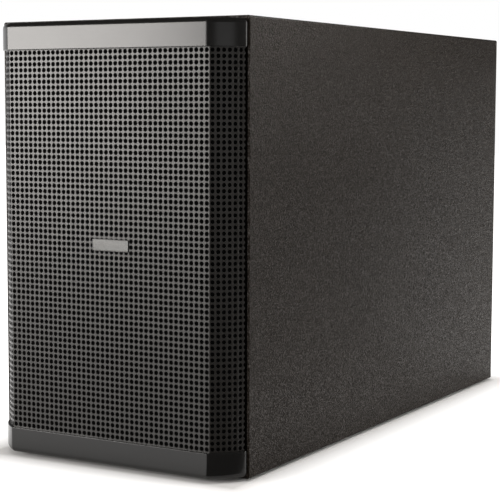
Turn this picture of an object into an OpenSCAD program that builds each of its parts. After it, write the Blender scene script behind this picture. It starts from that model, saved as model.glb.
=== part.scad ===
// Powered bass cabinet for a column loudspeaker system.
// x runs to the right, y to the back and z up. The block at_front() puts the flat
// front face at y = 0 and the underside of the cabinet at z = 0 for every module.

/* [Cabinet] */
// Width over the side panels
cab_w = 394; // [390:1:410]
// Height of the cabinet without its feet
cab_h = 594; // [590:1:640]
// Distance from the flat front face to the back of the rear panel
cab_back = 896; // [880:1:960]
// Distance from the flat front face to the front edge of the side panels
side_front = 42; // [42:0.5:46]
// Thickness of the plywood panels
wall = 18; // [18:1:21]
// Rounding of the long outer edges
edge_r = 3; // [1:0.5:5]
// Distance from the flat front face to the front of the baffle
baffle_y = 50; // [50:1:54]
// Distance from the flat front face to the front of the inner divider
divider_y = 470; // [450:5:490]

/* [Front] */
// Distance from each crease of the front to the cabinet's side
wing_span = 39; // [37:1:47]
// How far the grille's crease lies outside the offset crease of the caps
crease_shift = 2.6; // [1:0.1:4]
// Angle of each wing's chord to the flat front
wing_angle = 47; // [44:1:50]
// Length of each wing's chord
wing_chord = 54; // [52:1:55]
// Height of the wing's bulge over its chord
wing_bulge = 3.5; // [2:0.5:5]
// Underside of the bottom cap above the cabinet's underside
low_cap_z = 2.5; // [1:0.5:4]
// Height of the bottom cap
low_cap_h = 35; // [33:1:36]
// Top of the top cap below the cabinet's top
top_cap_drop = 3.5; // [2:0.5:5]
// Height of the top cap
top_cap_h = 36.5; // [34:0.5:36.5]
// Wall thickness of the moulded caps
cap_wall = 3; // [2:0.5:4]
// Gap between the end of a grille wing and the back of the caps
wing_gap = 2; // [1:0.5:4]
// Depth of the shadow gap cut in the front of each side panel
rebate_deep = 12; // [8:1:16]
// Thickness of the side panel's lip outside that gap
rebate_lip = 3.5; // [3:0.5:8]
// How far the grille lies behind the outline of the caps
grille_inset = 5.5; // [4:0.5:7]
// Thickness of the grille sheet
grille_t = 1.2; // [0.8:0.1:1.5]
// Thickness of the foam behind the grille
foam_t = 5; // [3:1:6]
// Width of the blank badge plate
badge_w = 57.7; // [40:0.1:70]
// Height of the blank badge plate
badge_h = 16; // [12:0.5:20]
// Place of the badge to the right of the middle
badge_x = 6.5; // [-10:0.5:10]

/* [Drivers] */
// Distance from the cabinet's top down to the front driver's axis
driver_drop = 202; // [198:1:206]
// Outer radius of the driver's flange
flange_r = 155; // [150:1:156]
// Radius of the cut-out that takes the basket
cutout_r = 141; // [139:1:143]
// Radius of the voice coil
coil_r = 38; // [37.8:0.1:38.2]
// Radius of the magnet
magnet_r = 85; // [75:1:90]
// Radius of a port tube's bore
port_r = 50; // [40:1:52]
// Length of a port tube
port_len = 260; // [150:10:300]

/* [Amplifier] */
// Width of the amplifier's plate
amp_w = 280; // [270:1:290]
// Height of the amplifier's plate
amp_h = 280; // [270:1:284]
// Thickness of the amplifier's plate
amp_t = 3; // [2.5:0.5:4]
// Travel of a push button
button_travel = 1.5; // [1:0.1:2]
// Tilt of the power rocker either side of level
rocker_tilt = 9; // [7:1:10]

/* [Top] */
// Radius of the pole socket's bore
pole_r = 17.6; // [17.5:0.05:18]
// Depth of the wide part of the pole socket
pole_depth = 70; // [60:1:80]
// Distance from the flat front face to the pole socket's axis
pole_y = 430; // [400:5:440]
// Radius of the threaded hole at the bottom of the socket
thread_r = 8.65; // [8.5:0.05:9.2]
// Distance from the flat front face to the middle of the handle
handle_y = 150; // [140:5:200]

/* [Running gear] */
// Height of the rubber feet
foot_h = 3; // [2:0.5:5]
// Radius of a rubber foot
foot_r = 16; // [12:1:20]
// Radius of a caster wheel
wheel_r = 37.5; // [35:0.5:38]
// Height of a caster from its plate to the tread
caster_h = 95; // [94:1:100]
// Offset of the wheel's axle from the swivel axis
caster_trail = 28; // [20:1:30]
// Distance of the swivel axes from the cabinet's sides
caster_inset = 70; // [69:1:75]
// Distance of the swivel axes from the cabinet's underside and top
caster_low_z = 85; // [82:1:88]

/* [Hidden] */
$fn = 64;
fit_gap = 0.05;      // radial gap of a running fit
free_gap = 0.4;      // gap between pieces that move past each other
inner_w = cab_w - 2*wall;
inner_top = cab_h - wall;
depth_all = cab_back + caster_h;
rear_front = cab_back - wall;
cap_back = side_front - 1;
top_cap_z = cab_h - top_cap_drop - top_cap_h;
low_cap_top = low_cap_z + low_cap_h;
// wing arc, worked out from its chord
wing_R = wing_chord*wing_chord/(8*wing_bulge) + wing_bulge/2;
wing_reach = wing_R - wing_bulge;
flat_half = cab_w/2 - wing_span;
wing_cx = flat_half + wing_chord/2*cos(wing_angle) - wing_reach*sin(wing_angle);
wing_cy = wing_chord/2*sin(wing_angle) + wing_reach*cos(wing_angle);
boss_x = 120;
boss_r = 6;
boss_rise = 11;
badge_t = 1.5;
port_x = 88;
port_z = 126;
// driver, along its own axis: 0 is the face of the panel it is mounted on
driver_axis_z = [cab_h - driver_drop, cab_h/2];
driver_panel_y = [baffle_y, divider_y];
flange_t = 4;
flange_in = 128;
basket_depth = 76;
basket_low_r = 92;
basket_t = 3;
cone_r = 113;
cone_t = 1.5;
cone_low_z = -45;
roll_r = 10;
roll_mid = 123;
roll_t = 1;
coil_t = 1;
coil_low_z = -92;
spider_z = -57;
spider_r = 82;
spider_t = 1;
ledge_in = spider_r - 6;
ledge_out = basket_low_r + 12;
top_plate_t = 8;
magnet_t = 24;
back_plate_t = 10;
top_plate_z = -basket_depth - top_plate_t;
magnet_low_z = top_plate_z - magnet_t;
back_plate_z = magnet_low_z - back_plate_t;
magnet_step = 5;         // the plates are this much smaller than the ring
magnet_ring_gap = 12;    // from the coil to the inside of the ring
vent_r = 10;
coil_gap = 0.5;
gap_r = coil_r + coil_t + coil_gap;
pole_piece_r = coil_r - coil_gap - 0.1;
basket_collar = 6;
spokes = 6;
window_w = 44;
window_top = -12;
window_low = spider_z + 6;
surround_rim = 8;
cone_glue = 6;
cap_R = 64;              // sphere radius of the dust cap
cap_r = 47;
cap_drop = 40;           // centre of that sphere below the cone's neck
cap_start = 6;
ridge_r = [50, 64];
ridge_w = 4;
driver_bolts = 8;
screw_head_r = 4.5;
screw_head_t = 2.5;
// amplifier, measured from its own middle
amp_mid_z = cab_h/2;
amp_overlap = 12;        // the plate covers the cut-out's edge by this much
amp_cut_w = amp_w - 2*amp_overlap;
amp_cut_h = amp_h - 2*amp_overlap;
screw_inset = 6;
plate_back = cab_back + amp_t;
controls_z = 60;
knob_x = 80;
knob_r = 11;
knob_t = 14;
knob_skirt = 3;
knob_step = 2.5;
groove_w = 1.2;
shaft_r = 3;
shaft_len = 16;
button_r = 4.5;
button_x = [50, 20];
button_out = 3;
button_in = 8;
rocker_x = 20;
rocker_z = -85;
rocker_w = 12;
rocker_half = 9;
rocker_depth = 5;
rocker_rise = 2.2;
rocker_lip = 0.2;
rocker_foot = 4;
socket_inset = 45;
socket_pitch = 35;
socket_x = [-amp_w/2 + socket_inset, -amp_w/2 + socket_inset + socket_pitch];
socket_r = 11;
socket_w = 26;
socket_h = 31;
socket_t = 2;
socket_deep = 22;
socket_gap = 0.2;
shell_t = 2;
contact_r = 1.6;
pin_contact_r = 1.2;
contact_ring = 5;
contact_deep = 12;
male_deep = 14;
latch_w = 6;
latch_h = 3.5;
latch_t = 1.5;
in_z = controls_z;
out_z = 14;
inlet_x = 70;
inlet_z = -85;
inlet_w = 48;
inlet_h = 28;
inlet_t = 2.5;
inlet_rim = 4.2;
inlet_rim_z = 3.2;
inlet_deep = 24;
inlet_bore = [30, 18, 16];
blade = [2, 14, 6];
blade_x = [-9, 0, 9];
led_r = 1.5;
led_x = [50, 20, -10];
led_z = 80;
led_in = 2;
sink_h = 72;
sink_z = -20;
sink_margin = 15;
sink_gap = 12;           // from the output socket's flange to the first fin
sink_w = amp_w/2 - sink_margin - (socket_x[1] + socket_w/2 + sink_gap);
sink_x = amp_w/2 - sink_margin - sink_w/2;
sink_base = 4;
sink_deep = 26;
fin_t = 2;
fin_n = 17;
board = [200, 1.6, 120];
board_x = -8;
board_mid_z = 20;
board_behind = 40;       // from the plate's back to the board's back face
standoff_r = 4;
standoff_x = board[0]/2 - 10;
standoff_z = -board[2]/2 + 10;
can_r = 9;
can_h = 18;
can_z = -30;
can_pitch = 30;
chip = [90, 12, 30];
chip_at = [-50, 15];
supply = [100, 60, 64];
supply_x = -70;
supply_z = -85;
// handle
dish_l = 150;
dish_w = 96;
dish_deep = 48;
dish_wall = 3;
dish_lip = 10;
lip_t = 2.5;
grip_w = 26;
grip_t = 14;
// pole socket
socket_flange_r = 45;
socket_wall = 4;
thread_deep = 30;
screw_pcd = 74;
top_screw_r = 4;
top_screw_t = 1.5;
foot_inset_x = 45;
foot_inset_y = 50;
// caster, measured along its swivel axis from the rear face
plate_half = 30;
plate_t = 3;
race_r = 20;
race_t = 6;
pin_r = 6;
pin_len = 12;
crown_t = 4;
leg_t = 3;
leg_in = 17;
wheel_w = 30;
axle_r = 4;
axle_y = caster_h - wheel_r;
crown_h = 16;
axle_end = 2;
fork_nose = 9;
tread_chamfer = [5, 6];
hub_side = 1;
hub_wall = 6;
web_t = 8;
rim_t = 4;
hub_r = 24;
bolt_off = 24;
bolt_head_r = 5.5;
bolt_head_t = 3.5;
casters = [for (z = [caster_low_z, cab_h - caster_low_z]) for (s = [-1, 1])
  [s*(cab_w/2 - caster_inset), z]];

// ---- helpers ----
module at_front() {
  translate([0, -depth_all/2, foot_h]) children();
}

// a driver's own axis points to the front
module at_driver(i) {
  at_front() translate([0, driver_panel_y[i], driver_axis_z[i]]) rotate([90, 0, 0]) children();
}

// x and z from the middle of the amplifier, y from the outer face of its plate
module at_amp(x = 0, z = 0) {
  at_front() translate([x, plate_back, amp_mid_z + z]) children();
}

// a caster's own axis points to the back and its wheel hangs down
module at_caster(i) {
  at_front() translate([casters[i][0], cab_back, casters[i][1]]) children();
}

module block(x0, y0, z0, x1, y1, z1) {
  translate([x0, y0, z0]) cube([x1 - x0, y1 - y0, z1 - z0]);
}

// a cylinder that runs to the back from y = 0
module rod_y(r, len) {
  rotate([-90, 0, 0]) cylinder(r = r, h = len);
}

module tube_y(r_out, r_in, len) {
  difference() {
    rod_y(r_out, len);
    translate([0, -1, 0]) rod_y(r_in, len + 2);
  }
}

// ---- cabinet shell ----
module cabinet_block() {
  union() {
    block(-cab_w/2 + edge_r, side_front, 0, cab_w/2 - edge_r, cab_back, cab_h);
    block(-cab_w/2, side_front, edge_r, cab_w/2, cab_back, cab_h - edge_r);
    for (x = [-1, 1])
      for (z = [edge_r, cab_h - edge_r])
        translate([x*(cab_w/2 - edge_r), side_front, z]) rod_y(edge_r, cab_back - side_front);
  }
}

// the shadow gap runs the whole height between the caps' ends
module side_panel(side) {
  color([0.10, 0.10, 0.10]) at_front() difference() {
    intersection() {
      cabinet_block();
      translate([side*(cab_w - wall)/2 - wall/2, 0, -1]) cube([wall, cab_back + 1, cab_h + 2]);
    }
    translate([side*(cab_w/2 - rebate_lip - wall/2) - wall/2, side_front - 1, wall])
      cube([wall, rebate_deep + 1, cab_h - 2*wall]);
  }
}

module side_panel_left() { side_panel(-1); }
module side_panel_right() { side_panel(1); }

module top_panel() {
  color([0.10, 0.10, 0.10]) at_front() difference() {
    block(-inner_w/2, side_front, inner_top, inner_w/2, cab_back, cab_h);
    translate([0, pole_y, inner_top - 1]) cylinder(r = pole_r + socket_wall + free_gap, h = wall + 2);
    block(-dish_l/2 - free_gap, handle_y - dish_w/2 - free_gap, inner_top - 1,
          dish_l/2 + free_gap, handle_y + dish_w/2 + free_gap, cab_h + 1);
  }
}

module bottom_panel() {
  color([0.10, 0.10, 0.10]) at_front()
    block(-inner_w/2, side_front, 0, inner_w/2, cab_back, wall);
}

module rear_panel() {
  color([0.10, 0.10, 0.10]) at_front() difference() {
    block(-inner_w/2, rear_front, wall, inner_w/2, cab_back, inner_top);
    block(-amp_cut_w/2, rear_front - 1, amp_mid_z - amp_cut_h/2,
          amp_cut_w/2, cab_back + 1, amp_mid_z + amp_cut_h/2);
  }
}

// ---- inner panels and ports ----
module front_baffle() {
  color([0.08, 0.08, 0.08]) at_front() difference() {
    block(-inner_w/2, baffle_y, wall, inner_w/2, baffle_y + wall, inner_top);
    translate([0, baffle_y - 1, driver_axis_z[0]]) rod_y(cutout_r, wall + 2);
    for (s = [-1, 1]) translate([s*port_x, baffle_y - 1, port_z]) rod_y(port_r + cap_wall, wall + 2);
  }
}

module inner_divider() {
  color([0.62, 0.50, 0.34]) at_front() difference() {
    block(-inner_w/2, divider_y, wall, inner_w/2, divider_y + wall, inner_top);
    translate([0, divider_y - 1, cab_h/2]) rod_y(cutout_r, wall + 2);
  }
}

// straight tube with a flange on the face of the baffle
module port_tube(side) {
  color([0.07, 0.07, 0.07]) at_front() translate([side*port_x, baffle_y, port_z]) union() {
    tube_y(port_r + cap_wall, port_r, port_len);
    translate([0, -cap_wall, 0]) tube_y(port_r + 3*cap_wall, port_r, cap_wall);
  }
}

module port_tube_left() { port_tube(-1); }
module port_tube_right() { port_tube(1); }

// ---- front ----
// outline of the front, moved inwards by inset and cut off at the depth back;
// shift moves its wings outwards
module front_outline(inset, back, shift = 0) {
  r = wing_R - inset;
  drop = wing_cy - inset;
  crease = wing_cx + shift + sqrt(r*r - drop*drop);
  translate([-crease, inset]) square([2*crease, back - inset]);
  for (s = [0, 1]) mirror([s, 0]) intersection() {
    translate([wing_cx + shift, wing_cy]) circle(r = r, $fn = 96);
    translate([crease - 1, inset]) square([cab_w/2 - crease, back - inset]);
  }
}

module cap(z0, h, boss_z) {
  color([0.13, 0.13, 0.13]) at_front() union() {
    difference() {
      translate([0, 0, z0]) linear_extrude(h) front_outline(0, cap_back);
      translate([0, 0, z0 + cap_wall]) linear_extrude(h - 2*cap_wall)
        front_outline(cap_wall, cap_back + 1);
    }
    for (x = [-boss_x, 0, boss_x])
      translate([x, cap_wall/2, boss_z]) rod_y(boss_r, baffle_y - cap_wall/2);
  }
}

module top_cap() { cap(top_cap_z, top_cap_h, top_cap_z + boss_rise); }
module bottom_cap() { cap(low_cap_z, low_cap_h, low_cap_top - boss_rise); }

module grille_shell(inset, t) {
  translate([0, 0, low_cap_top]) linear_extrude(top_cap_z - low_cap_top) difference() {
    front_outline(inset, cap_back - wing_gap, crease_shift);
    front_outline(inset + t, cap_back, crease_shift);
  }
}

module grille() {
  color([0.42, 0.41, 0.39]) at_front() grille_shell(grille_inset, grille_t);
}

module grille_foam() {
  color([0.04, 0.04, 0.04]) at_front() grille_shell(grille_inset + grille_t, foam_t);
}

module badge() {
  color([0.6, 0.6, 0.6]) at_front()
    block(badge_x - badge_w/2, grille_inset - badge_t, cab_h/2 - badge_h/2,
          badge_x + badge_w/2, grille_inset, cab_h/2 + badge_h/2);
}

// ---- drivers ----
module basket(i) {
  color([0.16, 0.16, 0.17]) at_driver(i) difference() {
    rotate_extrude($fn = 96) union() {
      polygon([[flange_in, 0], [flange_r, 0], [flange_r, flange_t], [flange_in, flange_t]]);
      polygon([[cutout_r - 1 - basket_t, 0], [cutout_r - 1, 0], [basket_low_r + basket_t, -basket_depth],
               [basket_low_r, -basket_depth]]);
      translate([ledge_in, spider_z - basket_t]) square([ledge_out - ledge_in, basket_t]);
      translate([gap_r + basket_collar, -basket_depth])
        square([basket_low_r + 1 - gap_r - basket_collar, basket_t]);
    }
    for (k = [0:spokes - 1]) rotate([0, 0, 360*(k + 0.5)/spokes])
      block(basket_low_r - 2, -window_w/2, window_low, cutout_r + 2, window_w/2, window_top);
  }
}

module magnet(i) {
  color([0.22, 0.22, 0.23]) at_driver(i) rotate_extrude($fn = 96) union() {
    translate([gap_r, top_plate_z]) square([magnet_r - magnet_step - gap_r, -basket_depth - top_plate_z]);
    translate([coil_r + magnet_ring_gap, magnet_low_z])
      square([magnet_r - coil_r - magnet_ring_gap, top_plate_z - magnet_low_z]);
    translate([vent_r, back_plate_z])
      square([magnet_r - magnet_step - vent_r, magnet_low_z - back_plate_z]);
    translate([vent_r, magnet_low_z]) square([pole_piece_r - vent_r, -basket_depth - magnet_low_z]);
  }
}

// half roll with a flat rim on each side
module surround(i) {
  color([0.05, 0.05, 0.05]) at_driver(i) rotate_extrude($fn = 96) union() {
    intersection() {
      translate([roll_mid, flange_t]) difference() {
        circle(r = roll_r, $fn = 48);
        circle(r = roll_r - roll_t, $fn = 48);
      }
      translate([roll_mid - roll_r - 1, flange_t]) square([2*roll_r + 2, roll_r + 1]);
    }
    translate([roll_mid + roll_r - roll_t, flange_t]) square([surround_rim, roll_t]);
    translate([cone_r - cone_glue, flange_t]) square([cone_glue + roll_t/2, roll_t]);
  }
}

// flat ring with two raised corrugations
module spider(i) {
  color([0.72, 0.62, 0.36]) at_driver(i) rotate_extrude($fn = 96) union() {
    translate([coil_r + coil_t, spider_z]) square([spider_r - coil_r - coil_t, spider_t]);
    for (r = ridge_r) translate([r, spider_z + spider_t]) square([ridge_w, spider_t]);
  }
}

module cone(i) {
  color([0.08, 0.08, 0.08]) at_driver(i) rotate_extrude($fn = 96) union() {
    polygon([[coil_r + coil_t, cone_low_z], [cone_r, flange_t - cone_t], [cone_r, flange_t],
             [cone_r - cone_glue, flange_t], [coil_r + coil_t, cone_low_z + 2*cone_t]]);
    intersection() {
      translate([0, cone_low_z - cap_drop]) difference() {
        circle(r = cap_R, $fn = 96);
        circle(r = cap_R - cone_t, $fn = 96);
      }
      translate([0, cone_low_z + cap_start]) square([cap_r, cap_R]);
    }
  }
}

module coil(i) {
  color([0.72, 0.45, 0.20]) at_driver(i) translate([0, 0, coil_low_z]) difference() {
    cylinder(r = coil_r + coil_t, h = cone_low_z - coil_low_z + 2, $fn = 96);
    translate([0, 0, -1]) cylinder(r = coil_r, h = cone_low_z - coil_low_z + 4, $fn = 96);
  }
}

module front_basket() { basket(0); }
module front_magnet() { magnet(0); }
module front_surround() { surround(0); }
module front_spider() { spider(0); }
module front_cone() { cone(0); }
module front_coil() { coil(0); }
module inner_basket() { basket(1); }
module inner_magnet() { magnet(1); }
module inner_surround() { surround(1); }
module inner_spider() { spider(1); }
module inner_cone() { cone(1); }
module inner_coil() { coil(1); }

module driver_screws() {
  color([0.10, 0.10, 0.10]) for (i = [0, 1]) at_driver(i)
    for (k = [0:driver_bolts - 1]) rotate([0, 0, 360*(k + 0.5)/driver_bolts])
      translate([(flange_r + cutout_r)/2 + 1, 0, flange_t])
      cylinder(r = screw_head_r, h = screw_head_t);
}

// ---- amplifier ----
module amp_plate() {
  color([0.09, 0.09, 0.10]) difference() {
    at_amp() translate([-amp_w/2, -amp_t, -amp_h/2]) cube([amp_w, amp_t, amp_h]);
    at_amp(knob_x, controls_z) translate([0, -amp_t - 1, 0]) rod_y(shaft_r + fit_gap, amp_t + 2);
    for (x = button_x) at_amp(x, controls_z)
      translate([0, -amp_t - 1, 0]) rod_y(button_r + free_gap, amp_t + 2);
    for (x = socket_x) for (z = [in_z, out_z]) at_amp(x, z)
      translate([0, -amp_t - 1, 0]) rod_y(socket_r, amp_t + 2);
    for (x = led_x) at_amp(x, led_z) translate([0, -amp_t - 1, 0]) rod_y(led_r, amp_t + 2);
    at_amp(inlet_x, inlet_z)
      translate([-inlet_w/2 + inlet_rim - socket_gap, -amp_t - 1, -inlet_h/2 + inlet_rim_z - socket_gap])
        cube([inlet_w - 2*inlet_rim + 2*socket_gap, amp_t + 2, inlet_h - 2*inlet_rim_z + 2*socket_gap]);
    at_amp(rocker_x, rocker_z) translate([-rocker_w/2 - free_gap, -amp_t - 1, -rocker_half - 1])
      cube([rocker_w + 2*free_gap, amp_t + 2, 2*rocker_half + 2]);
  }
}

module heat_sink() {
  color([0.12, 0.12, 0.12]) at_amp(sink_x, sink_z) {
    translate([-sink_w/2, 0, -sink_h/2]) cube([sink_w, sink_base, sink_h]);
    for (k = [0:fin_n - 1])
      translate([-sink_w/2 + k*(sink_w - fin_t)/(fin_n - 1), 0, -sink_h/2])
        cube([fin_t, sink_deep, sink_h]);
  }
}

// board with its larger components, on two standoffs behind the plate
module circuit_board() {
  color([0.10, 0.30, 0.16]) at_amp(board_x, board_mid_z) translate([0, -amp_t - board_behind, 0]) union() {
    translate([-board[0]/2, 0, -board[2]/2]) cube(board);
    for (x = [-standoff_x, standoff_x])
      translate([x, board[1]/2, standoff_z]) rod_y(standoff_r, board_behind - board[1]/2);
    for (k = [-2:2]) translate([k*can_pitch, -can_h, can_z]) rod_y(can_r, can_h + board[1]/2);
    translate([chip_at[0], -chip[1], chip_at[1]]) cube([chip[0], chip[1] + board[1]/2, chip[2]]);
  }
}

// closed supply box on the back of the plate
module power_supply() {
  color([0.55, 0.56, 0.58]) at_amp(supply_x, supply_z)
    translate([-supply[0]/2, -amp_t - supply[1], -supply[2]/2]) cube(supply);
}

// round panel socket with three contacts: holes behind a latch tab, or pins in a shell
module xlr_socket(x, z, male) {
  color([0.14, 0.14, 0.15]) at_amp(x, z) union() {
    difference() {
      union() {
        translate([-socket_w/2, 0, -socket_h/2]) cube([socket_w, socket_t, socket_h]);
        translate([0, -socket_deep, 0]) rod_y(socket_r - socket_gap, socket_deep + socket_t);
      }
      if (male) translate([0, -male_deep, 0]) rod_y(socket_r - shell_t, male_deep + 2*socket_t);
      else contacts(contact_r, contact_deep + 2*socket_t, -contact_deep);
    }
    if (male) contacts(pin_contact_r, male_deep, -male_deep - 1);
    else translate([-latch_w/2, socket_t, socket_h/2 - 2 - latch_h - 0.4])
      cube([latch_w, latch_t, latch_h]);
  }
}

module contacts(r, len, start) {
  for (a = [-90, 30, 150]) rotate([0, a, 0]) translate([contact_ring, start, 0]) rod_y(r, len);
}

module input_socket_left() { xlr_socket(socket_x[0], in_z, false); }
module input_socket_right() { xlr_socket(socket_x[1], in_z, false); }
module output_socket_left() { xlr_socket(socket_x[0], out_z, true); }
module output_socket_right() { xlr_socket(socket_x[1], out_z, true); }

module mains_inlet() {
  color([0.08, 0.08, 0.08]) at_amp(inlet_x, inlet_z) union() {
    difference() {
      union() {
        translate([-inlet_w/2, 0, -inlet_h/2]) cube([inlet_w, inlet_t, inlet_h]);
        translate([-inlet_w/2 + inlet_rim, -inlet_deep, -inlet_h/2 + inlet_rim_z])
          cube([inlet_w - 2*inlet_rim, inlet_deep + 1, inlet_h - 2*inlet_rim_z]);
      }
      translate([-inlet_bore[0]/2, -inlet_bore[1], -inlet_bore[2]/2])
        cube([inlet_bore[0], 2*inlet_bore[1], inlet_bore[2]]);
    }
    for (x = blade_x) translate([x - blade[0]/2, -inlet_bore[1] - 1, -blade[2]/2]) cube(blade);
  }
}

// rocker with two faces that meet in a ridge over its pivot
module power_switch() {
  color([0.10, 0.10, 0.10]) at_amp(rocker_x, rocker_z) rotate([rocker_tilt, 0, 0])
    rotate([90, 0, 90]) translate([0, 0, -rocker_w/2]) linear_extrude(rocker_w)
      polygon([[-rocker_depth, -rocker_foot], [rocker_lip, -rocker_half + 1], [rocker_rise, 0],
               [rocker_lip, rocker_half - 1], [-rocker_depth, rocker_foot]]);
}

// knob with its shaft and a pointer rib
module gain_knob() {
  color([0.10, 0.10, 0.10]) at_amp(knob_x, controls_z) difference() {
    union() {
      translate([0, free_gap, 0]) rod_y(knob_r, knob_skirt - free_gap);
      translate([0, free_gap, 0]) rod_y(knob_r - knob_step, knob_t - free_gap);
      translate([0, -shaft_len, 0]) rod_y(shaft_r, shaft_len + knob_skirt);
    }
    translate([-groove_w/2, knob_t - 1, 0]) cube([groove_w, 2, knob_r]);
  }
}

module push_button(x) {
  color([0.30, 0.30, 0.31]) at_amp(x, controls_z) translate([0, -button_in, 0])
    rod_y(button_r, button_in + button_out);
}

module mode_button() { push_button(button_x[0]); }
module phase_button() { push_button(button_x[1]); }

module led_lenses() {
  color([0.30, 0.75, 0.35]) for (x = led_x) at_amp(x, led_z) {
    translate([0, -amp_t - led_in, 0]) rod_y(led_r, amp_t + led_in);
    intersection() {
      sphere(r = led_r, $fn = 24);
      rod_y(led_r, led_r);
    }
  }
}

module amp_screws() {
  color([0.16, 0.16, 0.17]) at_amp() {
    for (x = [-1, 0, 1]) for (z = [-1, 0, 1]) if (x != 0 || z != 0)
      translate([x*(amp_w/2 - screw_inset), 0, z*(amp_h/2 - screw_inset)])
        rod_y(screw_head_r, screw_head_t);
  }
}

// ---- top ----
module pole_socket() {
  color([0.10, 0.10, 0.11]) at_front() translate([0, pole_y, cab_h]) difference() {
    union() {
      cylinder(r = socket_flange_r, h = lip_t);
      translate([0, 0, -pole_depth - thread_deep])
        cylinder(r = pole_r + socket_wall, h = pole_depth + thread_deep);
    }
    translate([0, 0, -pole_depth]) cylinder(r = pole_r, h = pole_depth + lip_t + 1);
    translate([0, 0, -pole_depth - thread_deep - 1]) cylinder(r = thread_r, h = thread_deep + 2);
  }
}

// sunken dish with a grip bar across its middle
module handle_dish() {
  color([0.10, 0.10, 0.11]) at_front() translate([0, handle_y, cab_h]) union() {
    difference() {
      union() {
        translate([-dish_l/2 - dish_lip, -dish_w/2 - dish_lip, 0])
          cube([dish_l + 2*dish_lip, dish_w + 2*dish_lip, lip_t]);
        translate([-dish_l/2, -dish_w/2, -dish_deep]) cube([dish_l, dish_w, dish_deep + 1]);
      }
      translate([-dish_l/2 + dish_wall, -dish_w/2 + dish_wall, -dish_deep + dish_wall])
        cube([dish_l - 2*dish_wall, dish_w - 2*dish_wall, dish_deep + lip_t]);
    }
    translate([-dish_l/2 + 1, -grip_w/2, -grip_t]) cube([dish_l - 2, grip_w, grip_t + lip_t]);
  }
}

module top_screws() {
  color([0.16, 0.16, 0.17]) at_front() translate([0, 0, cab_h + lip_t]) {
    for (a = [45:90:315]) translate([screw_pcd/2*cos(a), pole_y + screw_pcd/2*sin(a), 0])
      cylinder(r = top_screw_r, h = top_screw_t);
    for (x = [-1, 1]) for (y = [-1, 1])
      translate([x*(dish_l/2 + dish_lip/2), handle_y + y*(dish_w/2 - screw_inset), 0])
        cylinder(r = top_screw_r, h = top_screw_t);
  }
}

// ---- feet and casters ----
module feet() {
  color([0.05, 0.05, 0.05]) at_front()
    for (x = [-1, 1]) for (y = [side_front + foot_inset_y, cab_back - foot_inset_y])
      translate([x*(cab_w/2 - foot_inset_x), y, -foot_h]) cylinder(r = foot_r, h = foot_h);
}

// mounting plate with its raceway and the fixed kingpin
module caster_base(i) {
  color([0.62, 0.63, 0.65]) at_caster(i) union() {
    translate([-plate_half, 0, -plate_half]) cube([2*plate_half, plate_t, 2*plate_half]);
    rod_y(race_r, plate_t + race_t);
    rod_y(pin_r, plate_t + race_t + pin_len);
  }
}

// crown that turns on the kingpin, two legs and the riveted axle
module caster_fork(i) {
  crown_y = plate_t + race_t + free_gap;
  crown_r = leg_in + leg_t;
  color([0.68, 0.69, 0.70]) at_caster(i) union() {
    difference() {
      union() {
        translate([0, crown_y, 0]) rod_y(crown_r, crown_t);
        translate([-crown_r, crown_y, -crown_h]) cube([2*crown_r, crown_t, crown_h]);
      }
      rod_y(pin_r + fit_gap, crown_y + crown_t + 1);
    }
    for (s = [-1, 1]) translate([s*(leg_in + leg_t/2) - leg_t/2, 0, 0]) rotate([90, 0, 90])
      linear_extrude(leg_t) polygon([[crown_y, 0], [crown_y, -crown_h],
        [axle_y - fork_nose, -caster_trail - fork_nose/3], [axle_y + fork_nose/3, -caster_trail - fork_nose],
        [axle_y + fork_nose, -caster_trail + fork_nose/2], [crown_y + crown_t, 0]]);
    translate([-crown_r - axle_end, axle_y, -caster_trail]) rotate([0, 90, 0])
      cylinder(r = axle_r, h = 2*(crown_r + axle_end));
  }
}

module caster_wheel(i) {
  color([0.14, 0.14, 0.15]) at_caster(i) translate([0, axle_y, -caster_trail])
    rotate([0, 90, 0]) rotate_extrude($fn = 72) union() {
      translate([axle_r + fit_gap, -wheel_w/2 - hub_side]) square([hub_wall, wheel_w + 2*hub_side]);
      translate([axle_r + hub_wall - 1, -web_t/2]) square([hub_r - axle_r - hub_wall + 2, web_t]);
      translate([hub_r, -wheel_w/2 + 2*hub_side]) square([rim_t, wheel_w - 4*hub_side]);
      polygon([[hub_r + rim_t - 1, -wheel_w/2], [wheel_r - tread_chamfer[0], -wheel_w/2],
               [wheel_r, -wheel_w/2 + tread_chamfer[1]], [wheel_r, wheel_w/2 - tread_chamfer[1]],
               [wheel_r - tread_chamfer[0], wheel_w/2], [hub_r + rim_t - 1, wheel_w/2]]);
    }
}

module caster_base_1() { caster_base(0); }
module caster_base_2() { caster_base(1); }
module caster_base_3() { caster_base(2); }
module caster_base_4() { caster_base(3); }
module caster_fork_1() { caster_fork(0); }
module caster_fork_2() { caster_fork(1); }
module caster_fork_3() { caster_fork(2); }
module caster_fork_4() { caster_fork(3); }
module caster_wheel_1() { caster_wheel(0); }
module caster_wheel_2() { caster_wheel(1); }
module caster_wheel_3() { caster_wheel(2); }
module caster_wheel_4() { caster_wheel(3); }

module caster_bolts() {
  color([0.45, 0.46, 0.48]) for (i = [0:3]) at_caster(i)
    for (x = [-1, 1]) for (z = [-1, 1])
      translate([x*bolt_off, plate_t, z*bolt_off]) rod_y(bolt_head_r, bolt_head_t);
}

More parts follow.
